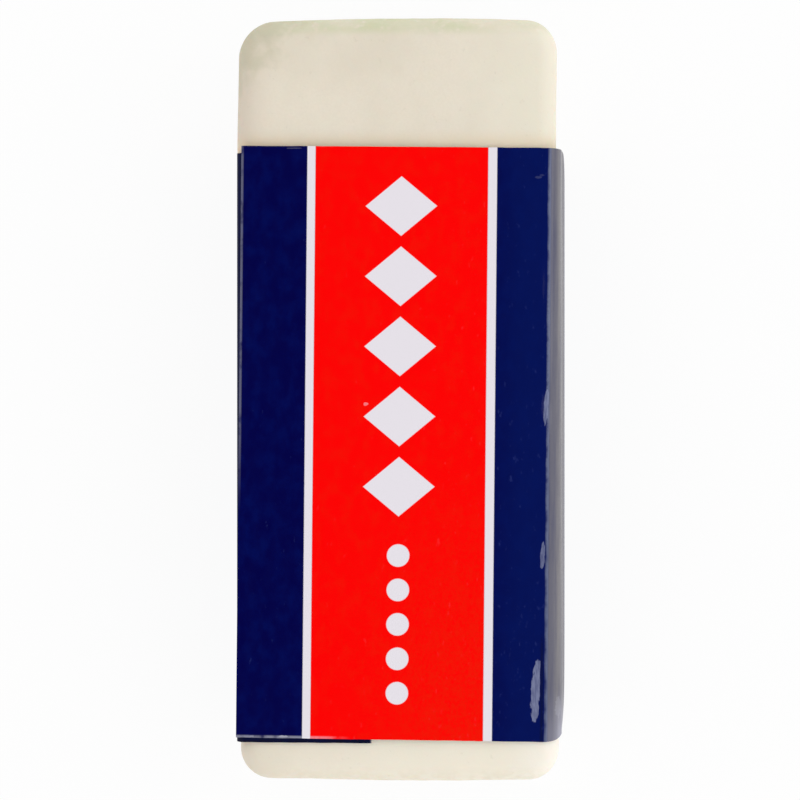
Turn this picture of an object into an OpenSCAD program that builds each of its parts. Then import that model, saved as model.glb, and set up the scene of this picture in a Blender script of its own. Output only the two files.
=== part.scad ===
// An eraser: a moulded rubber block in a sleeve, folded and glued from one strip of printed card.
// It lies on the sleeve's back panel. X runs across it, Y along it with the long bare end towards +Y,
// Z is up, and the origin is under its middle, on the surface that it lies on.

/* [Rubber block] */
// Width of the block
block_w = 24.3; // [18:0.1:40]
// Length of the block
block_l = 58.2; // [54:0.1:90]
// Thickness of the block
block_t = 12.5; // [9:0.1:20]
// Radius of all edges that run round the front and the back face
edge_r = 1.5; // [0.5:0.1:1.8]
// How far the worn middle of each end stands out over the block's long sides
end_crown = 0.3; // [0.1:0.05:0.8]
// Corner radius in plan at the long bare end, left
long_left_r = 2.6; // [1.9:0.05:4]
// Corner radius in plan at the long bare end, right
long_right_r = 2.35; // [1.9:0.05:4]
// Corner radius in plan at the short bare end, left
short_left_r = 2.05; // [1.9:0.05:4]
// Corner radius in plan at the short bare end, right
short_right_r = 2.5; // [1.9:0.05:4]

/* [Card sleeve] */
// Length of the sleeve along the block
sleeve_l = 44.9; // [20:0.1:48]
// Length of rubber that stands out at the long bare end
bare_l = 10.1; // [0:0.1:30]
// Thickness of the card
card_t = 0.2; // [0.15:0.01:0.6]
// Gap between the rubber and the card on each side, so that the sleeve slides
slide_gap = 0.05; // [0.02:0.01:0.5]
// Inner radius of the three tight folds
fold_r = 0.4; // [0.1:0.05:1]
// Angle that the soft fold at the front right turns; the sharp crease beside it turns the rest
soft_turn = 70; // [45:1:80]
// How far the right side panel bows outwards
side_bow = 0.25; // [0.05:0.05:0.8]
// Width of the inner flap that is glued under the front panel
flap_w = 10; // [4:0.5:14]
// Distance from the left side to the front panel's cut edge, at mid-length
lap_inset = 0.35; // [0.3:0.05:1.5]
// Angle by which the front panel was glued askew
lap_skew = 0.8; // [0:0.05:0.8]
// How far the flap and the front panel are pressed into each other where they are glued
lap_press = 0.02; // [0.01:0.01:0.05]

/* [Hidden] */
$fn = 96;

// Radius of the wide arc that a worn end follows in plan
crown_r = (pow(block_w / 2, 2) + pow(end_crown, 2)) / (2 * end_crown);
// Straight stretches that this arc is drawn with, from corner to corner
crown_steps = 8;

// Middle of the block, a little left of the bow, so that the whole lies centred
mid_x = -side_bow / 2;
// Height of the block's underside and of its front face
block_bottom = card_t + slide_gap;
block_top = block_bottom + block_t;
// Inner faces of the sleeve's left and right sides, from the block's middle
inner_x = block_w / 2 + slide_gap;
// Underside of the flap, and of the front panel at the crease
front_z = block_top + slide_gap;
// Ends of the sleeve
sleeve_high = block_l / 2 - bare_l;
sleeve_low = sleeve_high - sleeve_l;

// The card is rolled over the block's own edge at the soft fold, so it takes its radius from there
soft_fold_r = edge_r + slide_gap;

// Middles of the folds, as [x, z] from the block's middle
flap_fold = [fold_r - inner_x, front_z - fold_r];
left_fold = [fold_r - inner_x, card_t + fold_r];
right_fold = [inner_x - fold_r, card_t + fold_r];
soft_fold = [inner_x - soft_fold_r, front_z - soft_fold_r * sin(soft_turn)];
// The crease where the soft fold meets the front panel, on the card's inner face
crease = soft_fold + soft_fold_r * [cos(soft_turn), sin(soft_turn)];
// Free edge of the flap, on the card's inner face
flap_edge = [flap_w - inner_x, front_z];

// The bowed side is one arc, tangent to the fold below it and the soft fold above it
bow_h = soft_fold.y - right_fold.y;
bow_low = (bow_h + 2 * side_bow * (soft_fold_r - fold_r) / bow_h) / 2;
bow_high = bow_h - bow_low;
bow_r = (pow(bow_low, 2) + pow(side_bow, 2)) / (2 * side_bow) + fold_r;
bow = [inner_x + side_bow - bow_r, right_fold.y + bow_low];
bow_from = -asin(bow_low / (bow_r - fold_r));
bow_to = asin(bow_high / (bow_r - soft_fold_r));
// Straight stretches that each arc of the sleeve's section is drawn with
arc_steps = 8;
// Angle to which the card is carried round the crease, so that it runs into the front panel
crease_to = 120;

// Angle at the middle of the wide arc from the block's middle line to a round that touches the side
function corner_turn(r) = asin((block_w / 2 - r) / (crown_r - r));

// Upright section of a round of the block, from its middle line out to its rounded rim
module rim_section(r) {
    intersection() {
        square([r, block_t]);
        union() {
            square([r - edge_r, block_t]);
            translate([0, edge_r]) square([r, block_t - 2 * edge_r]);
            for (z = [edge_r, block_t - edge_r]) translate([r - edge_r, z]) circle(r = edge_r);
        }
    }
}

// A round that touches the wide arc of the block's end, at an angle from the middle line
module end_round(r, turn) {
    translate([0, block_l / 2 - crown_r, 0]) rotate(-turn) translate([0, crown_r - r, 0])
        rotate_extrude() rim_section(r);
}

// Outermost rounds of the block's end towards +Y: two corners, and the wide arc between them
module block_end(left_r, right_r) {
    left_turn = -corner_turn(left_r);
    right_turn = corner_turn(right_r);
    end_round(left_r, left_turn);
    end_round(right_r, right_turn);
    for (i = [1 : crown_steps - 1])
        end_round(edge_r, left_turn + (right_turn - left_turn) * i / crown_steps);
}

module rubber_block() {
    color("antiquewhite") translate([mid_x, 0, block_bottom]) hull($fn = 48) {
        block_end(long_left_r, long_right_r);
        mirror([0, 1, 0]) block_end(short_left_r, short_right_r);
    }
}

// Points of an arc about a middle, without the given number of points at each end
function arc(at, r, from, to, left_out = 0) = [
    for (i = [left_out : arc_steps - left_out])
        let (angle = from + (to - from) * i / arc_steps)
        at + r * [cos(angle), sin(angle)]
];

// One face of the card, at a depth from its inner face: it starts at the flap's free edge and runs
// round the left side, the back and the bowed right side to the crease
function card_face(depth) = concat(
    [flap_edge + [0, depth]],
    arc(flap_fold, fold_r + depth, 90, 180),
    arc(left_fold, fold_r + depth, 180, 270),
    arc(right_fold, fold_r + depth, -90, bow_from),
    arc(bow, bow_r + depth, bow_from, bow_to, left_out = 1),
    arc(soft_fold, soft_fold_r + depth, bow_to, soft_turn)
);

function reversed(points) = [for (i = [len(points) - 1 : -1 : 0]) points[i]];

// The strip from the flap's free edge to the crease, over the length of the sleeve
module inner_wrap() {
    outer = concat(card_face(card_t), arc(crease, card_t, soft_turn, crease_to, left_out = 1));
    linear_extrude(sleeve_l) polygon(concat(card_face(0), reversed(outer)));
}

// The front panel lies flat over the flap and slopes down from the flap's edge to the crease
module front_panel() {
    cut_x = -inner_x - card_t;
    lap_z = front_z + card_t - lap_press;
    linear_extrude(sleeve_l * 2, center = true) polygon([
        [cut_x, lap_z], [flap_edge.x, lap_z], crease,
        crease + [0, card_t], [flap_edge.x, lap_z + card_t], [cut_x, lap_z + card_t]
    ]);
}

// Outline that the front panel was cut to, turned by its skew about the middle of the crease
module front_outline() {
    panel_w = crease.x + inner_x + card_t - lap_inset;
    translate([crease.x, sleeve_low + sleeve_l / 2, 0]) rotate(-lap_skew)
        translate([-panel_w, -sleeve_l / 2, 0]) cube([panel_w * 2, sleeve_l, block_top * 2]);
}

module card_sleeve() {
    color("firebrick") translate([mid_x, 0, 0]) {
        translate([0, sleeve_high, 0]) rotate([90, 0, 0]) inner_wrap();
        intersection() {
            rotate([90, 0, 0]) front_panel();
            front_outline();
        }
    }
}

rubber_block();
card_sleeve();
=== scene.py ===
# %% [markdown]
# A used eraser in Blender: a moulded block of soft rubber in a printed card sleeve.
# The CAD model gives the sizes, the places and the way the sleeve slides. This script
# gives both pieces their looks: worn rubber corners, the folded and glued card, the print, and
# the marks of use. It starts by loading the CAD frame and reads the sizes from its boxes.

# %% Load the frame
import math

import bpy
import numpy as np
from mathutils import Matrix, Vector, noise


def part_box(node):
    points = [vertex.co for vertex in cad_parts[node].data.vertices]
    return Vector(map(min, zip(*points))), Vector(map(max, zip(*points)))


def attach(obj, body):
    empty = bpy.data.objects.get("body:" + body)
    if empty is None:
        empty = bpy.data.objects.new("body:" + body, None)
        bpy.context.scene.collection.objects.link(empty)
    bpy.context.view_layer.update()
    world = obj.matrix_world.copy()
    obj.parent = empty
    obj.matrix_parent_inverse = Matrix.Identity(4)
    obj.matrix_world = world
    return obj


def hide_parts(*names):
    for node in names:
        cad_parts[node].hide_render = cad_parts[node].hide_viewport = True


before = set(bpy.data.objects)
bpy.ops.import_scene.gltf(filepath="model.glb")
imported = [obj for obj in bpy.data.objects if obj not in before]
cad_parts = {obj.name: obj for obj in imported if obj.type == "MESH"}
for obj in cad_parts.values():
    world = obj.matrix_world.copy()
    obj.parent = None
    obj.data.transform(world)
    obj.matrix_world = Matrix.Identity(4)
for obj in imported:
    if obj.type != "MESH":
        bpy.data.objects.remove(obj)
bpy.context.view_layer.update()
MM = 0.001

# %% [markdown]
# Sizes come from the frame wherever it holds them. Only what a box can't tell, such as the
# card's thickness, is named again. All geometry is worked out in millimetres, and a mesh is
# scaled to metres when it is made.

# %% Sizes from the frame
block_low, block_high = (np.array(corner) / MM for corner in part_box("rubber_block"))
sleeve_low, sleeve_high = (np.array(corner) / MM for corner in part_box("card_sleeve"))
block_mid = (block_low + block_high) / 2
block_half = (block_high - block_low) / 2
front_top = sleeve_high[2]
print("block:", (2 * block_half).round(2), "mm, front panel at", round(front_top, 2), "mm")

# %% [markdown]
# The eraser was photographed from right above, from so close that its side can just be seen
# bulging past the front's right edge. A long lens would hide that, so the camera stands only
# 150 mm above the front panel, which is a guess, a few millimetres to the right of the middle,
# and looks at the sleeve's middle.

# %% Camera
PICTURE_SIDE = 800
PIXELS_PER_MM = 13.25
CAMERA_HEIGHT = 150.0
CAMERA_RIGHT = 5.0
AIM = (-0.14, -0.05)
SENSOR = 36.0

camera_place = Vector((AIM[0] + CAMERA_RIGHT, AIM[1], front_top + CAMERA_HEIGHT))
camera_data = bpy.data.cameras.new("camera")
camera_data.sensor_width = SENSOR
camera_data.lens = SENSOR * PIXELS_PER_MM * CAMERA_HEIGHT / PICTURE_SIDE
camera_data.clip_start = 10 * MM
camera = bpy.data.objects.new("camera", camera_data)
bpy.context.collection.objects.link(camera)
camera.location = camera_place * MM
camera.rotation_euler = (0, math.atan2(CAMERA_RIGHT, CAMERA_HEIGHT), 0)
bpy.context.scene.camera = camera
print("lens in mm:", round(camera_data.lens, 1))

# %% [markdown]
# Node trees get long when every node is made and linked by hand. Two small classes keep the
# materials readable: a Wire is a socket that can stand in a Python expression, so that
# `1 - mask` adds the Math node it needs, and a Finish is a node tree whose one method makes any
# other node, with its settings first and then the values or links of its sockets.

# %% A socket that can be calculated with
class Wire:
    """A shader socket that can stand in a Python expression."""

    def __init__(self, finish, socket):
        self.finish = finish
        self.socket = socket

    def calculate(self, operation, first, second):
        kind = "ShaderNodeMath"
        if self.socket.type == "VECTOR":
            kind = "ShaderNodeVectorMath"
            first, second = self.as_vector(first), self.as_vector(second)
        return self.finish.node(kind, {"operation": operation}, {0: first, 1: second})

    def as_vector(self, value):
        """A single number stands for three of the same."""
        return value if isinstance(value, (Wire, tuple)) else (value, value, value)

    def __add__(self, other):
        return self.calculate("ADD", self, other)

    def __radd__(self, other):
        return self.calculate("ADD", other, self)

    def __sub__(self, other):
        return self.calculate("SUBTRACT", self, other)

    def __rsub__(self, other):
        return self.calculate("SUBTRACT", other, self)

    def __mul__(self, other):
        return self.calculate("MULTIPLY", self, other)

    def __rmul__(self, other):
        return self.calculate("MULTIPLY", other, self)


# %% A node tree made of such sockets
class Finish:
    """A node tree, with one method that makes any node and short names for the common ones."""

    def __init__(self, tree):
        self.tree = tree
        tree.nodes.clear()

    def node(self, kind, settings=None, inputs=None, output=0):
        """Makes any node: its settings first, and then the values or links of its sockets."""
        made = self.tree.nodes.new(kind)
        for name, value in (settings or {}).items():
            setattr(made, name, value)
        for name, value in (inputs or {}).items():
            if isinstance(value, Wire):
                self.tree.links.new(value.socket, made.inputs[name])
            else:
                made.inputs[name].default_value = value
        return Wire(self, made.outputs[output]) if made.outputs else made

    def step(self, value, low, high):
        """0 at low, 1 at high, and a soft rise between them. Low may lie above high."""
        return self.node(
            "ShaderNodeMapRange",
            {"interpolation_type": "SMOOTHSTEP"},
            {"Value": value, "From Min": low, "From Max": high},
        )

    def band(self, value, low, high, soft=0.05):
        """1 between low and high, and 0 outside them."""
        return self.step(value, low - soft, low + soft) * self.step(value, high + soft, high - soft)

    def clouds(self, place, scale, detail, seed=0.0):
        """Cloudy grey from 0 to 1, with about `scale` clouds to the millimetre."""
        settings = {"noise_dimensions": "4D"}
        inputs = {"Vector": place, "Scale": scale, "Detail": detail, "W": seed}
        return self.node("ShaderNodeTexNoise", settings, inputs)

    def axes(self, place):
        """The three numbers of a place."""
        return [self.node("ShaderNodeSeparateXYZ", None, {0: place}, output=i) for i in range(3)]

    def blend(self, mask, below, above):
        """The colour below where the mask is 0, and the colour above where it is 1."""
        settings = {"data_type": "RGBA"}
        return self.node("ShaderNodeMix", settings, {"Factor": mask, 6: below, 7: above}, output=2)

    def larger(self, first, second):
        return self.node("ShaderNodeMath", {"operation": "MAXIMUM"}, {0: first, 1: second})

    def bump(self, height, distance, strength):
        """Turns a height from 0 to 1 into a normal, for a relief of that many millimetres."""
        inputs = {"Strength": strength, "Distance": distance * MM, "Height": height}
        return self.node("ShaderNodeBump", None, inputs)

    def end(self, inputs):
        """Closes the tree with one Principled shader."""
        shader = self.node("ShaderNodeBsdfPrincipled", None, inputs)
        self.node("ShaderNodeOutputMaterial", None, {"Surface": shader})


# %% Materials and colours
def new_material(name):
    material = bpy.data.materials.new(name)
    material.use_nodes = True
    return material


def srgb(red, green, blue):
    """A colour given as 0 to 255 on a screen, as the linear colour that a shader takes."""
    def linear(v):
        v = v / 255
        return v / 12.92 if v <= 0.04045 else ((v + 0.055) / 1.055) ** 2.4
    return (linear(red), linear(green), linear(blue), 1.0)


print("screen grey 128 is", round(srgb(128, 128, 128)[0], 3), "in a shader")

# %% [markdown]
# The rubber block comes out of its mould as a plain slab, is tumbled until all its edges are
# round, and wears at the ends in use. A bevelled cube could give round edges of one radius
# only. Here every corner has worn differently, so the shape is written as a distance: how far a
# point is outside the slab. A fine grid on a box is then moved, step by step, to where that
# distance is zero, which rounds edges and corners of any radius in one go.

# %% How far a point is outside the worn slab
EDGE_R = 1.5
END_CROWN = {"long": 0.3, "short": 0.17}
CORNER_R = {"long_left": 2.75, "long_right": 2.35, "short_left": 2.3, "short_right": 2.35}


def slab_distance(points):
    """Distance in mm from points, given from the block's middle, to the slab: below 0 inside it."""
    x, y, z = points.T
    crown = np.where(y > 0, END_CROWN["long"], END_CROWN["short"])
    crowned = y + np.sign(y) * crown * (x / block_half[0]) ** 2
    corner = np.where(
        y > 0,
        np.where(x < 0, CORNER_R["long_left"], CORNER_R["long_right"]),
        np.where(x < 0, CORNER_R["short_left"], CORNER_R["short_right"]),
    )
    over_x = np.abs(x) - block_half[0] + corner
    over_y = np.abs(crowned) - block_half[1] + corner
    plan = np.hypot(np.maximum(over_x, 0), np.maximum(over_y, 0)) - corner
    plan += np.minimum(np.maximum(over_x, over_y), 0)
    over_plan = plan + EDGE_R
    over_z = np.abs(z) - block_half[2] + EDGE_R
    outside = np.hypot(np.maximum(over_plan, 0), np.maximum(over_z, 0)) - EDGE_R
    return outside + np.minimum(np.maximum(over_plan, over_z), 0)


print("middle of the front face:", slab_distance(np.array([[0.0, 0.0, block_half[2]]])))

# %% A box grid, fine along the edges and at the bare ends
FINE = 0.18
MEDIUM = 0.4
COARSE = 0.6
EDGE_BAND = 2.7
BARE_BAND = 11.0
CARD_ENDS = (-25.95, 18.72)
ROW_BESIDE_CARD = 0.04


def stations(half, bands):
    """Places from -half to half: each band is (distance from the end, spacing)."""
    places = [0.0]
    for depth, spacing in bands:
        while places[-1] < min(depth, half) - spacing / 2:
            places.append(places[-1] + spacing)
    places = np.array(places) * half / places[-1]
    return np.concatenate([places - half, (half - places[:-1])[::-1]])


grid_x = stations(block_half[0], [(EDGE_BAND, FINE), (block_half[0], MEDIUM)])
grid_y = stations(block_half[1], [(EDGE_BAND, FINE), (BARE_BAND, MEDIUM), (block_half[1], COARSE)])
beside_card = [place + side for place in CARD_ENDS for side in (-ROW_BESIDE_CARD, ROW_BESIDE_CARD)]
grid_y = np.unique(np.append(grid_y, beside_card))
grid_z = stations(block_half[2], [(EDGE_BAND, FINE), (block_half[2], MEDIUM)])
print("grid:", len(grid_x), "x", len(grid_y), "x", len(grid_z))

# %% Join the six sides of the grid into one closed skin
def box_skin(xs, ys, zs):
    """Corners and faces of a box whose sides are divided at the given places."""
    corners = {}
    faces = []

    def corner(i, j, k):
        return corners.setdefault((i, j, k), len(corners))

    ends = (len(xs) - 1, len(ys) - 1, len(zs) - 1)
    for axis in range(3):
        a, b = (axis + 1) % 3, (axis + 2) % 3
        for side in (0, ends[axis]):
            for i in range(ends[a]):
                for j in range(ends[b]):
                    ring = []
                    for di, dj in ((0, 0), (1, 0), (1, 1), (0, 1)):
                        place = [0, 0, 0]
                        place[axis], place[a], place[b] = side, i + di, j + dj
                        ring.append(corner(*place))
                    faces.append(ring if side else ring[::-1])
    points = np.array([(xs[i], ys[j], zs[k]) for i, j, k in corners])
    return points, faces


skin_points, skin_faces = box_skin(grid_x, grid_y, grid_z)
print("skin:", len(skin_points), "corners,", len(skin_faces), "faces")

# %% Move the grid onto the worn slab
STEPS = 12


def outward(points):
    """Direction in which the distance to the slab grows fastest."""
    tiny = 0.01
    slopes = [slab_distance(points + tiny * np.eye(3)[i]) - slab_distance(points - tiny * np.eye(3)[i])
              for i in range(3)]
    slopes = np.array(slopes).T
    return slopes / np.maximum(np.linalg.norm(slopes, axis=1, keepdims=True), 1e-9)


for step in range(STEPS):
    skin_points -= outward(skin_points) * slab_distance(skin_points)[:, None]
print("largest distance left:", round(float(np.abs(slab_distance(skin_points)).max()), 4), "mm")

# %% [markdown]
# Rubbing leaves the ends of an eraser slightly lumpy: broad shallow hollows, and small pits
# where grains of rubber tore off. The grid is fine enough to carry the broad ones as real
# shape, strongest at the ends and much weaker under the card. The pits are left to the bump of
# the material. The block also sits a little to the left in its sleeve, and a little askew. There
# the card presses it flat, and it bulges out again where it leaves the card at the long end.

# %% Lumps of wear, the lean in the sleeve and the swelling beside it
BROAD_LUMP = {"height": 0.05, "size": 4.5, "seed": 3.1}
SMALL_LUMP = {"height": 0.022, "size": 1.1, "seed": 7.7}
WEAR_UNDER_CARD = 0.15
BLOCK_SHIFT = -0.19
BLOCK_LEAN = 0.0026
SWELLING = 0.16
DRAWN_IN = 0.08
SWELLING_FADE = 5.0
SQUEEZED_X = -12.24


def lump(place, kind):
    """Smooth random height in mm, up or down, in lumps of that kind's height and size."""
    seed = kind["seed"]
    shift = Vector((seed, 2 * seed, 3 * seed))
    return kind["height"] * noise.noise(Vector(place) / kind["size"] + shift)


def wear(points):
    """Height in mm that wear leaves along the surface's own direction."""
    towards_end = (np.abs(points[:, 1]) - block_half[1] + BARE_BAND) / BARE_BAND
    strength = np.clip(towards_end, WEAR_UNDER_CARD, 1)
    height = [lump(p, BROAD_LUMP) + lump(p, SMALL_LUMP) for p in points]
    return np.array(height) * strength


def swelling(points):
    """How far in mm the sides move to the left beside the card, at the long bare end."""
    past_card = points[:, 1] - CARD_ENDS[1]
    fade = np.where(past_card > 0, np.exp(-(past_card / SWELLING_FADE) ** 2), 0)
    across = points[:, 0] / block_half[0]
    return np.where(across < 0, SWELLING, DRAWN_IN) * across**2 * fade


def squeezed(points):
    """The points, with those under the card kept inside its left side."""
    under_card = (points[:, 1] > CARD_ENDS[0]) & (points[:, 1] < CARD_ENDS[1])
    inside = points.copy()
    inside[under_card, 0] = np.maximum(inside[under_card, 0], SQUEEZED_X)
    return inside


skin_points += outward(skin_points) * wear(skin_points)[:, None]
skin_points[:, 0] += BLOCK_SHIFT - BLOCK_LEAN * skin_points[:, 1] - swelling(skin_points)
skin_points = squeezed(skin_points) + block_mid

# %% Make a mesh object from points in millimetres
def make_object(name, points, faces, sharp_angle=None):
    mesh = bpy.data.meshes.new(name)
    mesh.from_pydata([tuple(p * MM) for p in points], [], faces)
    mesh.validate()
    mesh.shade_smooth()
    if sharp_angle:
        mesh.set_sharp_from_angle(angle=math.radians(sharp_angle))
    made = bpy.data.objects.new(name, mesh)
    bpy.context.collection.objects.link(made)
    return made


worn_block = make_object("worn_block", skin_points, skin_faces)
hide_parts("rubber_block")
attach(worn_block, "block")
print("worn block:", [round(v / MM, 2) for v in worn_block.dimensions])

# %% [markdown]
# Eraser rubber is a matte cream, full of chalk, with a little light passing through its edges.
# Handling leaves it uneven: graphite and finger grease gather in a greenish grey film along the
# worn rims, most of all at the corner that is used, while the rubber under the card stays
# clean. The film is a mask of clouds along the rims, strong at the long bare end and weak at
# the short one. Painted light makes the right part and the low end paler and the left edge
# darker, and a faint band of painted shade, warm in tone, lies beside the card's edge.

# %% Colours of the rubber
CREAM = srgb(224, 215, 197)
CREAM_CLOUD = srgb(231, 222, 205)
CREAM_GRAIN = srgb(220, 210, 192)
CREAM_PAINTED_LIGHT_RIGHT = srgb(239, 234, 216)
CREAM_PAINTED_SHADE_LEFT = srgb(214, 201, 184)
CREAM_PAINTED_LIGHT_LOW = srgb(241, 234, 217)
CREAM_PAINTED_LIGHT_LOW_RIGHT = srgb(252, 247, 240)
RIM_FILM = srgb(204, 207, 171)
USED_CORNER = srgb(191, 187, 160)
LOW_RIM = srgb(224, 216, 192)
CARD_SHADE_TINT = srgb(226, 203, 168)
PIT = srgb(196, 188, 168)
print("cream in a shader:", [round(v, 3) for v in CREAM[:3]])


# %% Rubber
def rubber_finish():
    material = new_material("cream_rubber")
    finish = Finish(material.node_tree)
    place = finish.node("ShaderNodeTexCoord", output="Object") * (1 / MM)
    across, along, _ = finish.axes(place)

    clouds = finish.clouds(place, 0.16, 3.0)
    speckle = finish.clouds(place, 1.6, 4.0)
    grain = finish.clouds(place, 6.0, 3.0)
    pits = finish.step(finish.clouds(place, 2.6, 2.0, seed=4.0), 0.34, 0.24)

    colour = finish.blend(finish.step(clouds, 0.35, 0.65), CREAM, CREAM_CLOUD)
    colour = finish.blend(finish.step(grain, 0.3, 0.7) * 0.25, colour, CREAM_GRAIN)
    # Painted light and shade: the right part is painted lighter and the left edge darker, as if lit
    # from the right.
    colour = finish.blend(finish.step(across, 2.0, 12.0) * 0.6, colour, CREAM_PAINTED_LIGHT_RIGHT)
    colour = finish.blend(finish.step(across, -9.0, -12.4) * 0.75, colour, CREAM_PAINTED_SHADE_LEFT)

    # Painted light: the low end is painted paler, most of all towards its right corner.
    low_end = finish.step(along, -20.0, -26.0)
    painted_light_low = low_end * (0.3 + finish.step(across, -10.0, 2.0) * 0.5)
    colour = finish.blend(painted_light_low, colour, CREAM_PAINTED_LIGHT_LOW)
    low_right = low_end * finish.step(across, 7.0, 12.0)
    colour = finish.blend(low_right * 0.5, colour, CREAM_PAINTED_LIGHT_LOW_RIGHT)

    long_rim = finish.step(along, 27.4, 28.3)
    blotches = finish.clouds(place * (0.3, 1.0, 0.5), 0.7, 4.0, seed=2.0)
    film = long_rim * finish.step(speckle, 0.2, 0.5) * (0.35 + finish.step(blotches, 0.3, 0.6) * 0.65)
    film = film * (0.4 + finish.step(across, 9.0, 4.0) * 0.6)
    colour = finish.blend(film * 0.85, colour, RIM_FILM)
    corner_way = along * 0.8 - across
    mottles = finish.step(finish.clouds(place, 0.65, 4.0, seed=6.0), 0.35, 0.65)
    used_corner = finish.step(corner_way + mottles * 2.4 + speckle * 2.0, 31.5, 36.3)
    colour = finish.blend(used_corner * 0.62, colour, USED_CORNER)
    low_rim = finish.step(along, -27.6, -28.9)
    colour = finish.blend(low_rim * finish.step(speckle, 0.35, 0.65) * 0.4, colour, LOW_RIM)
    # Painted shade: a darker, warmer band beside the card's edge at the long end.
    card_edge_shade = finish.step(along, 18.4, 18.9) * finish.step(along, 20.6, 19.1)
    colour = finish.blend(card_edge_shade * 0.45, colour, CARD_SHADE_TINT)
    colour = finish.blend(pits * 0.15, colour, PIT)

    relief = speckle * 0.6 + grain * 0.4 - pits * 0.6
    finish.end({
        "Base Color": colour, "Roughness": 0.62 + speckle * 0.2,
        "Normal": finish.bump(relief, 0.06, strength=0.3),
        "Subsurface Weight": 0.12, "Subsurface Scale": 0.8 * MM, "Specular IOR Level": 0.3,
    })
    return material


worn_block.data.materials.append(rubber_finish())
print("nodes in the rubber:", len(worn_block.data.materials[0].node_tree.nodes))

# %% [markdown]
# The sleeve starts as a flat strip of printed card. It is creased, wrapped once round the block
# and glued to itself: the front panel is the last stretch of the strip and lies over a narrow
# flap, its first stretch. The mesh follows the same order. A section is walked from the front
# panel's cut edge to the flap's free edge, as runs and turns of the card's inner face, and the
# outer face lies one card's thickness outside it. Walking the strip, and not boxing the block
# in, gives true laps, true cut edges, and one length that the print can be laid out on.

# %% Sizes of the folded card
CARD_T = 0.2
SLIDE_GAP = block_low[2] - CARD_T
TIGHT_FOLD_R = 0.4
SOFT_FOLD_R = EDGE_R + SLIDE_GAP
SOFT_TURN = 70
FLAP_W = 10.0
LAP_PRESS = 0.02

sleeve_mid_x = block_mid[0]
inner_x = block_half[0] + SLIDE_GAP
inner_front = block_high[2] + SLIDE_GAP
side_bow = sleeve_high[0] - sleeve_mid_x - inner_x - CARD_T
print("inside of the sleeve:", round(2 * inner_x, 2), "x", round(inner_front - CARD_T, 2), "mm")
print("its right side bows out by", round(side_bow, 2), "mm")

# %% Runs and turns of the card's inner face
def run(start, stop, count):
    """Places along a straight stretch, closest together at its ends, and the way they face."""
    start, stop = np.array(start, float), np.array(stop, float)
    along = (stop - start) / np.linalg.norm(stop - start)
    facing = np.array([-along[1], along[0]])
    shares = [(1 - math.cos(math.pi * i / count)) / 2 for i in range(count + 1)]
    return [(start + (stop - start) * share, facing) for share in shares]


def turn(middle, radius, start, stop, count):
    """Places round a fold, each facing away from the fold's middle."""
    places = []
    for i in range(count + 1):
        angle = math.radians(start + (stop - start) * i / count)
        facing = np.array([math.cos(angle), math.sin(angle)])
        places.append((np.array(middle) + radius * facing, facing))
    return places


# %% The section at one place along the sleeve
LAP_EASE = 0.75
LAP_DIP = 0.03
SLACK_BOW = 1.3
LEFT_EASE = 0.05
CREASE_R = 0.03
COUNTS = {
    "over flap": 22, "front": 30, "crease": 3, "soft fold": 16, "bow": 16, "tight fold": 8,
    "back": 30, "left": 16, "flap": 14,
}


def bowed_side(soft_middle, tight_middle, bow):
    """Middle, radius and end angles of the arc that the right side bows out to."""
    height = soft_middle[1] - tight_middle[1]
    low = (height + 2 * bow * (SOFT_FOLD_R - TIGHT_FOLD_R) / height) / 2
    radius = (low**2 + bow**2) / (2 * bow) + TIGHT_FOLD_R
    middle = (tight_middle[0] + TIGHT_FOLD_R + bow - radius, tight_middle[1] + low)
    start = math.degrees(math.asin((height - low) / (radius - SOFT_FOLD_R)))
    stop = -math.degrees(math.asin(low / (radius - TIGHT_FOLD_R)))
    return middle, radius, start, stop


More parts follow.
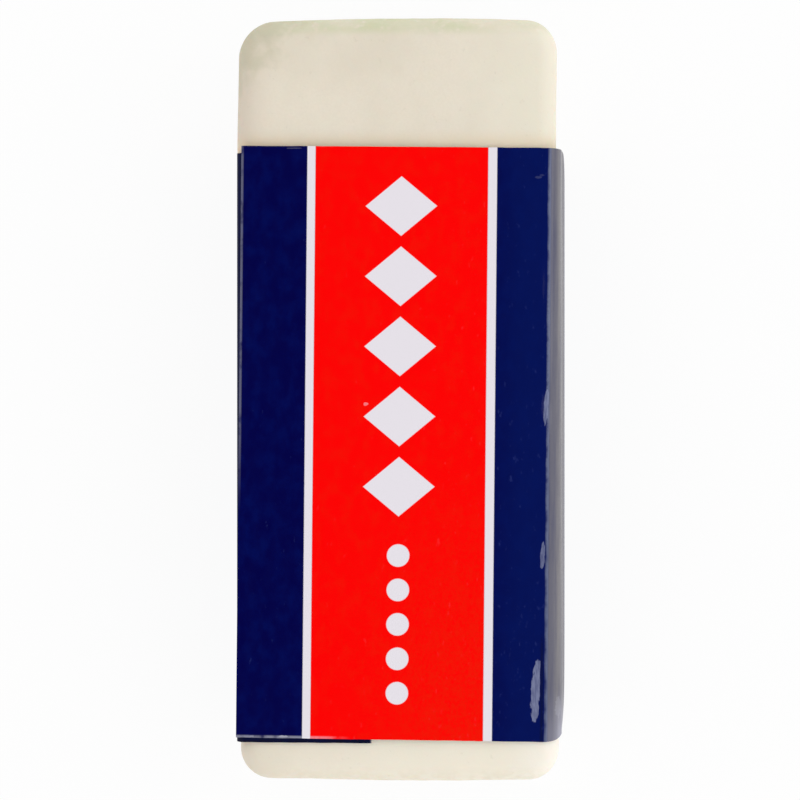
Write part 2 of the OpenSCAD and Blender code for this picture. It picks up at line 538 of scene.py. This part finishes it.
def section(cut_x, crease_x, slack, pinch):
    """The strip's inner face, from the front panel's cut edge to the flap's free edge.

    Slack is how far the right side's folds lie in, which makes it bow out more. Pinch is how much
    of its bow the handling has pressed flat."""
    lap_z = inner_front + CARD_T - LAP_PRESS
    flap_end = FLAP_W - inner_x
    side_x = inner_x - slack
    soft = (side_x - SOFT_FOLD_R, inner_front - SOFT_FOLD_R * math.sin(math.radians(SOFT_TURN)))
    soft_start = soft[0] + SOFT_FOLD_R * math.cos(math.radians(SOFT_TURN))
    right = (side_x - TIGHT_FOLD_R, CARD_T + TIGHT_FOLD_R)
    left_x = -inner_x - LEFT_EASE
    left = (left_x + TIGHT_FOLD_R, CARD_T + TIGHT_FOLD_R)
    flap = (left_x + TIGHT_FOLD_R, inner_front - TIGHT_FOLD_R)
    bow_depth = side_bow + slack * SLACK_BOW - pinch
    bow, bow_r, bow_start, bow_stop = bowed_side(soft, right, bow_depth)
    places = run((cut_x, lap_z), (flap_end - LAP_EASE, lap_z), COUNTS["over flap"])
    crease = (crease_x - CREASE_R * math.cos(math.radians(SOFT_TURN)), inner_front - CREASE_R)
    past_flap = (flap_end + LAP_EASE, lap_z - LAP_DIP)
    places += run(past_flap, (crease[0], inner_front), COUNTS["front"])
    places += turn(crease, CREASE_R, 90, SOFT_TURN, COUNTS["crease"])[1:]
    fold = turn(soft, SOFT_FOLD_R, SOFT_TURN, bow_start, COUNTS["soft fold"])[1:]
    for i, (place, facing) in enumerate(fold):
        stretch = (crease_x - soft_start) * (1 - (i + 1) / len(fold))
        places.append((place + np.array([stretch, 0]), facing))
    places += turn(bow, bow_r, bow_start, bow_stop, COUNTS["bow"])[1:]
    places += turn(right, TIGHT_FOLD_R, bow_stop, -90, COUNTS["tight fold"])[1:]
    places += run((right[0], CARD_T), (left[0], CARD_T), COUNTS["back"])[1:]
    places += turn(left, TIGHT_FOLD_R, 270, 180, COUNTS["tight fold"])[1:]
    places += run((left_x, left[1]), (left_x, flap[1]), COUNTS["left"])[1:]
    places += turn(flap, TIGHT_FOLD_R, 180, 90, COUNTS["tight fold"])[1:]
    places += run((flap[0], inner_front), (flap_end, inner_front), COUNTS["flap"])[1:]
    return np.array([p for p, _ in places]), np.array([f for _, f in places])


# %% [markdown]
# The strip was wrapped a little askew, so its two ends don't meet: the front panel ends higher
# than the flap below it, its cut edge and its crease lean, and so does its print. The places
# below are in millimetres from the block's middle, at the low end and then at the high end.
# The pinch is a depth and the distance over which it fades. The worn bend is its place past the
# crease, its half width and its depth, and a dent is its place past the crease and along the
# sleeve, its half width, its half length and its depth.

# %% Wrap the strip askew
ROWS = 190
CUT_X = (-12.45, -12.03)
CREASE_X = (10.88, 11.2)
SIDE_SLACK = (0.14, 0.16)
END_PINCH = {"low": (0.38, 1.3), "high": (0.08, 0.6)}
LOW_END = {"cut edge": -25.6, "crease": -25.85, "flap": -26.02}
HIGH_END = {"cut edge": 19.2, "crease": 18.97, "flap": 18.62}
WORN_BEND = (2.2, 1.1, 0.45)
RAGGED = {"height": 0.02, "size": 0.8, "seed": 1.7}
WAVE = {"height": 0.025, "size": 7.0, "seed": 5.3}
DENTS = [
    (0.0, -0.5, 0.3, 1.2, 0.05),
    (-0.1, -11.8, 0.25, 0.8, 0.04),
    (-0.3, -22.0, 0.35, 2.2, 0.05),
    (-0.1, 8.6, 0.2, 2.2, 0.03),
]


def walked(places):
    """Distance along the strip from its first place."""
    return np.concatenate([[0], np.cumsum(np.linalg.norm(np.diff(places, axis=0), axis=1))])


def dents(past_crease, along):
    """Depth in mm of the small dents that fingers left in the crease."""
    depth = np.zeros_like(past_crease)
    for across, at, half_w, half_l, deep in DENTS:
        fall = ((past_crease - across) / half_w) ** 2 + ((along - at) / half_l) ** 2
        depth += deep * np.exp(-fall)
    return depth


def pinched(share):
    """How much of the bow is pressed flat near both ends of the sleeve, in mm."""
    length = sleeve_high[1] - sleeve_low[1]
    low, low_reach = END_PINCH["low"]
    high, high_reach = END_PINCH["high"]
    at_low = low * math.exp(-share * length / low_reach)
    return at_low + high * math.exp(-(1 - share) * length / high_reach)


def strip_skin():
    """Inner and outer places of the strip by row, and where each lies on the flat blank."""
    inner, outer, blank, margin = [], [], [], []
    for row in range(ROWS + 1):
        share = row / ROWS
        cut_x = CUT_X[0] + (CUT_X[1] - CUT_X[0]) * share
        crease_x = CREASE_X[0] + (CREASE_X[1] - CREASE_X[0]) * share
        slack = SIDE_SLACK[0] + (SIDE_SLACK[1] - SIDE_SLACK[0]) * share
        places, facing = section(cut_x, crease_x, slack, pinched(share))
        reach = walked(places)
        past_crease = reach - (crease_x - cut_x)
        knots = [0, crease_x - cut_x, reach[-1]]
        low = np.interp(reach, knots, list(LOW_END.values()))
        worn_at, worn_half, worn_deep = WORN_BEND
        low += worn_deep * np.exp(-((past_crease - worn_at) / worn_half) ** 2)
        high = np.interp(reach, knots, list(HIGH_END.values()))
        ragged = np.array([lump((r, 0, 0), RAGGED) for r in reach])
        along = low + ragged + (high - low) * share
        wave = np.array([lump((r, a, 0), WAVE) for r, a in zip(reach, along)])
        shape = np.where((past_crease < 0) & (reach > FLAP_W), wave, 0) - dents(past_crease, along)
        for face, depth in ((inner, 0.0), (outer, CARD_T)):
            shifted = places + facing * (depth + shape)[:, None]
            face.append(np.column_stack([shifted[:, 0] + sleeve_mid_x, along, shifted[:, 1]]))
        blank.append(np.column_stack([reach, along, past_crease]))
        margin.append(np.column_stack([along - low, high - along, reach[-1] - reach]))
    return np.array(inner), np.array(outer), np.array(blank), np.array(margin)


strip_inner, strip_outer, strip_blank, strip_margin = strip_skin()
print("length of the strip:", round(float(strip_blank[0, -1, 0]), 1), "mm")

# %% Close the strip into one thin solid
PRINTED, BARE, CUT = 0, 1, 2


def strip_faces(rows, columns):
    """Faces of both sides and of the four cut edges, each with its material slot."""
    def at(side, row, column):
        return (side * rows + row) * columns + column

    faces, slots = [], []
    for row in range(rows - 1):
        for column in range(columns - 1):
            ring = [(row, column), (row, column + 1), (row + 1, column + 1), (row + 1, column)]
            faces.append([at(0, *place) for place in ring[::-1]])
            slots.append(BARE)
            faces.append([at(1, *place) for place in ring])
            slots.append(PRINTED)
    rim = [(0, column) for column in range(columns - 1)]
    rim += [(row, columns - 1) for row in range(rows - 1)]
    rim += [(rows - 1, column) for column in range(columns - 1, 0, -1)]
    rim += [(row, 0) for row in range(rows - 1, 0, -1)]
    for place, following in zip(rim, rim[1:] + rim[:1]):
        faces.append([at(0, *place), at(0, *following), at(1, *following), at(1, *place)])
        slots.append(CUT)
    return faces, slots


rows, columns = strip_inner.shape[:2]
strip_points = np.concatenate([strip_inner.reshape(-1, 3), strip_outer.reshape(-1, 3)])
faces, slots = strip_faces(rows, columns)
folded_sleeve = make_object("folded_sleeve", strip_points, faces, sharp_angle=40)
folded_sleeve.data.polygons.foreach_set("material_index", slots)
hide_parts("card_sleeve")
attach(folded_sleeve, "sleeve")
print("folded sleeve:", len(faces), "faces,", [round(v / MM, 2) for v in folded_sleeve.dimensions])

# %% [markdown]
# The print is laid out on the flat blank, before it is folded, and wear follows the blank's
# edges and folds. So each point of the mesh carries two places in millimetres: "blank" is the
# way from the front panel's cut edge, the way along the sleeve, and the way past the crease,
# and "margin" is the distance from the low end, the high end and the flap's free edge.

# %% Lay the blank's own measures on the mesh
def measure(name, values):
    layer = folded_sleeve.data.attributes.new(name, "FLOAT_VECTOR", "POINT")
    both_faces = np.concatenate([values.reshape(-1, 3)] * 2)
    layer.data.foreach_set("vector", both_faces.astype(np.float32).ravel())


measure("blank", strip_blank)
measure("margin", strip_margin)
on_back = strip_outer[0, :, 2] < 0.5 * CARD_T
BACK_MID = float(strip_blank[0, on_back, 0].mean())
print("the back panel's middle is", round(BACK_MID, 1), "mm along the strip")

# %% [markdown]
# The card is coated white board, printed with a red field between two thin white lines on
# navy, and varnished. A plain row of lozenges and dots runs down the field. Every shape is
# worked out from the place on the blank, so the edges stay sharp at any distance, which an
# image would not give.

# %% The printed design
NAVY = srgb(0, 0, 68)
NAVY_PALE = srgb(0, 8, 80)
NAVY_PAINTED_LIGHT = srgb(2, 20, 88)
RED = srgb(254, 0, 0)
RED_DULL = srgb(236, 30, 4)
WHITE = srgb(231, 226, 233)
BOARD = srgb(224, 225, 238)
SCUFFED = srgb(110, 130, 220)
RUBBED_SHEEN_TOP = srgb(99, 98, 110)
RUBBED_SHEEN_SIDE = srgb(128, 125, 126)
WORN_AND_SHEEN_END = srgb(172, 172, 190)
CREASE_HIGHLIGHT = srgb(96, 104, 132)
PALE_HIGHLIGHT_AND_SCUFF = srgb(124, 130, 162)
PAINTED_SHADE_NAVY = srgb(14, 17, 38)
LINES = [(5.02, 5.63), (18.69, 19.36)]
FIELD_MID = (LINES[0][1] + LINES[1][0]) / 2
LOZENGE = {"half_w": 2.7, "half_l": 2.25, "spacing": 5.3, "first": -6.6, "last": 14.6}
DOT = {"radius": 0.85, "spacing": 2.6, "first": -22.2, "last": -11.8}
PRINT_EDGE = 0.04
print("the red field's middle is", round(FIELD_MID, 2), "mm from the front panel's cut edge")


def distance(finish, first, second):
    return finish.node("ShaderNodeMath", {"operation": "ABSOLUTE"}, {0: first - second})


def row_distance(finish, along, row):
    """Distance along the sleeve from the nearest of a row's evenly spaced middles."""
    shifted = along - row["first"]
    return finish.node("ShaderNodeMath", {"operation": "PINGPONG"}, {0: shifted, 1: row["spacing"] / 2})


def row_range(finish, along, row):
    half = row["spacing"] / 2
    return finish.band(along, row["first"] - half, row["last"] + half)


def lozenges(finish, across, along):
    near = distance(finish, across, FIELD_MID) * (1 / LOZENGE["half_w"])
    near = near + row_distance(finish, along, LOZENGE) * (1 / LOZENGE["half_l"])
    return finish.step(near, 1.02, 0.98) * row_range(finish, along, LOZENGE)


def dots(finish, across, along):
    wide = distance(finish, across, FIELD_MID)
    high = row_distance(finish, along, DOT)
    radius = DOT["radius"]
    outside, inside = (radius + PRINT_EDGE) ** 2, (radius - PRINT_EDGE) ** 2
    return finish.step(wide * wide + high * high, outside, inside) * row_range(finish, along, DOT)


def panel(finish, across):
    """Masks of the red field and of the white lines beside it, on one panel."""
    red = finish.band(across, LINES[0][1], LINES[1][0], soft=PRINT_EDGE)
    left, right = (finish.band(across, *line, soft=PRINT_EDGE) for line in LINES)
    return red, left + right


# %% [markdown]
# Wear shows pale board wherever the ink has gone: a thin line along the raw edges of the front
# panel, nicks where a nail caught the card, and scuffs. Round the bend on the right the grey is
# partly rubbed ink and partly a painted sheen, a painted highlight runs along the crease, and
# where fingers dented the crease painted highlights break up into pale patches. The end of the
# flap, which stands out below the front panel, and the groove at its fold are painted dark as
# shade. Each nick and each patch is listed by its place across and along the blank, its half
# sizes and its strength.

# %% Worn ink along the raw edges, and painted shade at the flap
EDGE_WEAR = 0.15
LOW_EDGE_WEAR = 0.3
SPOT_RAGGED = 2.2
NICKS = [
    (3.6, -25.5, 0.35, 0.07, 0.5),
    (1.2, -25.5, 0.2, 0.05, 0.35),
    (4.0, 19.0, 0.6, 0.05, 0.06),
    (9.6, -0.35, 0.2, 0.13, 0.25),
    (24.45, -23.3, 0.35, 0.8, 0.1),
]


def spot(finish, place, half_across, half_along, ragged):
    """1 in a ragged oval of those half sizes in mm, given places from its middle."""
    wide, long = place[0] * (1 / half_across), place[1] * (1 / half_along)
    return finish.step(wide * wide + long * long + (ragged - 0.5) * SPOT_RAGGED, 1.1, 0.8)


def raw_edges(finish, blank, margin):
    """How much board shows along the front panel's raw edges, from 0 to 1."""
    across, along, _ = finish.axes(blank)
    low, high, flap = finish.axes(margin)
    patchy = finish.clouds(blank, 1.1, 3.0, seed=1.0)
    fine = finish.clouds(blank, 5.0, 2.0, seed=2.0)
    on_front = finish.step(across, 8.8, 6.0)
    low_edge = finish.step(low, 0.25, 0.12) * finish.step(patchy, 0.25, 0.55) * on_front
    high_edge = finish.step(high, 0.1, 0.04) * finish.step(fine, 0.4, 0.65) * on_front * 0.3
    cut_edge = finish.step(across, 0.22, 0.12) * finish.step(patchy, 0.2, 0.5)
    cut_edge = cut_edge * finish.step(along, -9.0, 0.0)
    flap_edge = finish.step(flap, 0.12, 0.04)
    worn = finish.larger(high_edge, finish.larger(cut_edge, flap_edge)) * EDGE_WEAR
    worn = finish.larger(worn, low_edge * LOW_EDGE_WEAR)
    for at_across, at_along, half_across, half_along, strength in NICKS:
        place = (across - at_across, along - at_along)
        nick = spot(finish, place, half_across, half_along, fine) * strength
        worn = finish.larger(worn, nick)
    return worn


def flap_shade(finish, blank, margin):
    """Painted shade along the flap's low end, and in the groove between its fold and the front panel.
    """
    low, _, flap = finish.axes(margin)
    blotches = finish.clouds(blank, 1.5, 3.0, seed=11.0)
    low_end = finish.step(low, 0.5, 0.15) * finish.step(flap, 12.0, 10.5)
    groove = finish.step(flap, 10.7, 10.2) * 0.8
    return finish.larger(low_end, groove) * (0.6 + blotches * 0.6)


# %% Rubbed bend with painted sheen, painted highlights at the crease, and scuffs
DENT_HIGHLIGHTS_AND_SCUFF = [
    (-0.7, -22.0, 0.34, 2.2, 0.9),
    (-0.72, -23.5, 0.27, 0.9, 0.95),
    (-0.08, -0.5, 0.15, 1.4, 0.8),
    (-0.24, -11.8, 0.17, 0.95, 0.7),
    (-0.75, 16.75, 0.26, 0.1, 0.16),
    (-0.5, 16.9, 0.2, 0.08, 0.12),
]
PATCH_LEAN = 0.06
STREAK_LENGTH = 4.0


def dent_highlights_and_scuff(finish, blank):
    """Painted highlights at the dents of the crease, and a faint scuff near its high end."""
    _, along, past_crease = finish.axes(blank)
    ragged = finish.clouds(blank * (1.0, 0.5, 1.0), 3.6, 5.0, seed=7.0)
    streaks = finish.clouds(blank * (1.0, 0.3, 1.0), 5.0, 3.0, seed=13.0)
    patches = None
    for at_past, at_along, half_w, half_l, strength in DENT_HIGHLIGHTS_AND_SCUFF:
        up = along - at_along
        place = (past_crease - at_past - up * PATCH_LEAN, up)
        patch = spot(finish, place, half_w, half_l, ragged) * strength
        patches = patch if patches is None else finish.larger(patches, patch)
    return patches * (0.6 + finish.step(streaks, 0.3, 0.65) * 0.4)


def crease_highlight_line(finish, blank):
    """A fine painted highlight along the sharp crease, broken up like cracked ink."""
    past_crease = finish.axes(blank)[2]
    broken = finish.clouds(blank * (1.0, 0.6, 1.0), 1.2, 3.0, seed=15.0)
    line = finish.band(past_crease + broken * 0.16, 0.06, 0.22, soft=0.06)
    return line * (0.35 + finish.step(broken, 0.3, 0.6) * 0.55)


def round_bend(finish, past_crease, streaks, rise, gone, full):
    """1 from just past the crease to where the streaks end, far down the right side."""
    reach = past_crease + streaks * STREAK_LENGTH
    return finish.step(past_crease, -0.02, rise) * finish.step(reach, gone, full)


def rubbed_and_sheen_bend(finish, blank):
    """The grey round the soft fold, streaked along the sleeve: partly rubbed ink and partly a painted
    sheen, paler down the side.
    """
    past_crease = finish.axes(blank)[2]
    streaks = finish.clouds(blank * (1.0, 0.12, 1.0), 1.6, 3.0, seed=9.0)
    on_bend = round_bend(finish, past_crease, streaks, rise=0.25, gone=7.8, full=4.8)
    return on_bend * (0.62 + finish.step(streaks, 0.3, 0.65) * 0.3)


def worn_and_sheen_end(finish, blank):
    """The paler grey round the bend at the low end, strongest on its side: partly wear and partly a
    painted sheen.
    """
    _, along, past_crease = finish.axes(blank)
    streaks = finish.clouds(blank * (1.0, 0.2, 1.0), 1.8, 3.0, seed=23.0)
    growing = 0.2 + finish.step(past_crease, 0.5, 1.5) * 0.5
    on_bend = round_bend(finish, past_crease, streaks, rise=0.2, gone=6.6, full=3.8)
    return finish.step(along + streaks * 2.0, -20.5, -25.0) * on_bend * growing


def crease_shade_line(finish, blank):
    """A line of painted shade beside the crease, at the low end."""
    _, along, past_crease = finish.axes(blank)
    ragged = finish.clouds(blank * (1.0, 0.5, 1.0), 2.0, 3.0, seed=21.0)
    line = finish.band(past_crease + ragged * 0.1, -0.3, -0.08, soft=0.08)
    return line * finish.step(along, -17.0, -19.5)


def scuffs(finish, blank):
    """Faint small scuffs, more of them on the right half and towards the low end."""
    across, along, _ = finish.axes(blank)
    spread = finish.clouds(blank, 0.25, 2.0, seed=19.0)
    marks = finish.clouds(blank * (1.0, 0.7, 1.0), 2.4, 4.0, seed=17.0)
    more = finish.step(across, 6.0, 20.0) * 0.05 + finish.step(along, 8.0, -20.0) * 0.03
    return finish.step(marks + more + spread * 0.1, 0.73, 0.86)


# %% Printed card
def printed_finish():
    material = new_material("printed_card")
    finish = Finish(material.node_tree)
    blank = finish.node("ShaderNodeAttribute", {"attribute_name": "blank"}, output="Vector")
    margin = finish.node("ShaderNodeAttribute", {"attribute_name": "margin"}, output="Vector")
    across, along, past_crease = finish.axes(blank)

    front_red, front_white = panel(finish, across)
    back_red, back_white = panel(finish, across - (BACK_MID - FIELD_MID))
    motif = finish.larger(lozenges(finish, across, along), dots(finish, across, along))
    mottle = finish.clouds(blank, 0.9, 4.0, seed=3.0)
    fine = finish.clouds(blank, 4.0, 3.0, seed=5.0)

    navy = finish.blend(finish.step(mottle, 0.35, 0.75), NAVY, NAVY_PALE)
    # Painted light: from 17 mm past the cut edge on, the navy is painted lighter, as if lit from the
    # right.
    navy = finish.blend(finish.step(across, 17.0, 22.0) * 0.7, navy, NAVY_PAINTED_LIGHT)
    low_right = finish.step(across, 6.0, 18.0) * finish.step(along, 0.0, -25.0)
    red = finish.blend(finish.step(mottle + fine * 0.3, 0.55, 0.9) * 0.25, RED, RED_DULL)
    red = finish.blend(low_right * finish.step(fine, 0.25, 0.7) * 0.5, red, RED_DULL)
    worn = scuffs(finish, blank)
    navy = finish.blend(worn * 0.06, navy, SCUFFED)
    red = finish.blend(worn * 0.015, red, BOARD)
    white = finish.larger(finish.larger(front_white, back_white), motif)
    colour = finish.blend(finish.larger(front_red, back_red), navy, red)
    colour = finish.blend(white, colour, WHITE)
    # Painted shade: a dark line beside the crease at the low end.
    colour = finish.blend(crease_shade_line(finish, blank) * 0.5, colour, PAINTED_SHADE_NAVY)
    # Round the bend the grey is partly rubbed ink and partly painted sheen, paler down the side.
    rubbed_and_sheen = finish.blend(finish.step(past_crease, 0.35, 1.1), RUBBED_SHEEN_TOP, RUBBED_SHEEN_SIDE)
    colour = finish.blend(rubbed_and_sheen_bend(finish, blank), colour, rubbed_and_sheen)
    # A painted highlight along the crease.
    colour = finish.blend(crease_highlight_line(finish, blank), colour, CREASE_HIGHLIGHT)
    # At the low end the bend is paler: partly wear, partly painted sheen.
    colour = finish.blend(worn_and_sheen_end(finish, blank), colour, WORN_AND_SHEEN_END)
    # Pale painted highlights where the crease is dented, and a faint scuff.
    colour = finish.blend(dent_highlights_and_scuff(finish, blank), colour, PALE_HIGHLIGHT_AND_SCUFF)
    # Painted shade darkens the flap's low end and the groove at its fold.
    colour = finish.blend(flap_shade(finish, blank, margin), colour, PAINTED_SHADE_NAVY)
    colour = finish.blend(raw_edges(finish, blank, margin), colour, BOARD)

    on_bend = finish.step(past_crease, -0.1, 0.2) * finish.step(past_crease, 2.2, 0.8)
    on_side = finish.band(past_crease, 1.6, 12.5, soft=0.4)
    on_flap = finish.step(finish.axes(margin)[2], 10.9, 10.3)
    rub = finish.clouds(blank * (1.0, 0.25, 1.0), 1.5, 4.0, seed=6.0)
    relief = fine * 0.35 + mottle * 0.65
    finish.end({
        "Base Color": colour, "Roughness": 0.3 + rub * 0.15, "Specular IOR Level": 0.04,
        "Coat Weight": 0.2 + on_bend * 0.3 - finish.larger(on_flap, on_side * 0.8) * 0.16,
        "Coat Roughness": 0.1, "Coat IOR": 1.5,
        "Normal": finish.bump(relief, 0.02, strength=0.3),
    })
    return material


# %% [markdown]
# Inside, the board is left bare: a greyish white, with fibres that show in a low light. Its cut
# edges are the same board in section, in thin layers, coloured a darker lavender grey.

# %% Bare board and its cut edges
FIBRE = srgb(200, 196, 188)
FIBRE_PALE = srgb(214, 211, 204)
FLECK = srgb(160, 152, 140)
LAYER_DARK = srgb(96, 94, 116)
LAYER_PALE = srgb(150, 148, 164)


def bare_finish():
    material = new_material("bare_board")
    finish = Finish(material.node_tree)
    blank = finish.node("ShaderNodeAttribute", {"attribute_name": "blank"}, output="Vector")
    fibres = finish.clouds(blank * (1.0, 0.3, 1.0), 3.0, 5.0)
    flecks = finish.step(finish.clouds(blank, 2.2, 2.0, seed=8.0), 0.68, 0.74)
    colour = finish.blend(finish.step(fibres, 0.3, 0.7), FIBRE, FIBRE_PALE)
    colour = finish.blend(flecks * 0.4, colour, FLECK)
    finish.end({
        "Base Color": colour, "Roughness": 0.85, "Specular IOR Level": 0.2,
        "Normal": finish.bump(fibres, 0.03, strength=0.5),
    })
    return material


def cut_finish():
    material = new_material("cut_board")
    finish = Finish(material.node_tree)
    place = finish.node("ShaderNodeTexCoord", output="Object") * (1 / MM)
    layers = finish.clouds(place, 6.0, 3.0)
    colour = finish.blend(finish.step(layers, 0.35, 0.65), LAYER_DARK, LAYER_PALE)
    finish.end({
        "Base Color": colour, "Roughness": 0.85, "Specular IOR Level": 0.2,
        "Normal": finish.bump(layers, 0.03, strength=0.5),
    })
    return material


for material in (printed_finish(), bare_finish(), cut_finish()):
    folded_sleeve.data.materials.append(material)
print("materials of the sleeve:", [m.name for m in folded_sleeve.data.materials])

# %% [markdown]
# The photograph has a plain white ground. The floor is pale card: most of what is seen
# of it, by the camera and in the varnish, is its own glow, which lifts it to white without
# putting more light on the eraser. The rest is matte and keeps a soft shadow.

# %% Floor
FLOOR_HALF = 1.5
GLOW_SHARE = 0.92
SEEN_BY = ("Is Camera Ray", "Is Glossy Ray", "Is Transmission Ray")


def floor_finish():
    material = new_material("pale_floor")
    finish = Finish(material.node_tree)
    rays = [finish.node("ShaderNodeLightPath", output=kind) for kind in SEEN_BY]
    seen = rays[0] + rays[1] + rays[2]
    matte = finish.node("ShaderNodeBsdfDiffuse", None, {"Color": (0.9, 0.9, 0.9, 1)})
    glow = finish.node("ShaderNodeEmission", None, {"Color": (1, 1, 1, 1), "Strength": 1.0})
    shown = finish.node("ShaderNodeMixShader", None, {"Fac": seen * GLOW_SHARE, 1: matte, 2: glow})
    finish.node("ShaderNodeOutputMaterial", None, {"Surface": shown})
    return material


floor_corners = [(x * FLOOR_HALF, y * FLOOR_HALF, 0) for x, y in ((-1, -1), (1, -1), (1, 1), (-1, 1))]
floor_mesh = bpy.data.meshes.new("floor")
floor_mesh.from_pydata(floor_corners, [], [(0, 1, 2, 3)])
floor_mesh.materials.append(floor_finish())
floor = bpy.data.objects.new("floor", floor_mesh)
bpy.context.collection.objects.link(floor)
print("floor:", 2 * FLOOR_HALF, "m wide, seen as", GLOW_SHARE, "glow")

# %% [markdown]
# Most of the light is a pale sky, a little brighter on the right, and dark right overhead, where
# the varnish would mirror it and wash out the navy. A narrow softbox on the right draws the
# bright line along the bent card.

# %% Softbox
def soft_lamp(name, place, size, watts):
    lamp = bpy.data.lights.new(name, "AREA")
    lamp.shape = "RECTANGLE"
    lamp.size, lamp.size_y = size
    lamp.energy = watts
    made = bpy.data.objects.new(name, lamp)
    bpy.context.collection.objects.link(made)
    made.location = place
    made.rotation_euler = (-Vector(place)).to_track_quat("-Z", "Y").to_euler()
    return made


softbox = soft_lamp("right_softbox", place=(0.46, 0.05, 0.5), size=(0.13, 0.8), watts=0.5)
print("softbox:", softbox.data.energy, "W,", round(softbox.location.length, 2), "m away")

# %% A sky that is dark overhead
SKY_LIGHT = 1.18
OVERHEAD_LOSS = 1.12
RIGHT_GAIN = 0.12


def studio_sky(world):
    """Pale all round, and dark overhead: it fades out from 37 to 16 degrees off straight up."""
    world.use_nodes = True
    sky = Finish(world.node_tree)
    right, _, height = sky.axes(sky.node("ShaderNodeTexCoord", output="Generated"))
    overhead = sky.step(height, 0.8, 0.96)
    glow = (SKY_LIGHT - overhead * OVERHEAD_LOSS) * (1.0 + right * RIGHT_GAIN)
    light = sky.node("ShaderNodeBackground", None, {"Color": (1, 1, 1, 1), "Strength": glow})
    sky.node("ShaderNodeOutputWorld", None, {"Surface": light})


scene = bpy.context.scene
scene.world = bpy.data.worlds.new("studio")
studio_sky(scene.world)
scene.view_settings.view_transform = "Standard"
print("sky: strength", SKY_LIGHT, "all round and", round(SKY_LIGHT - OVERHEAD_LOSS, 2), "overhead")
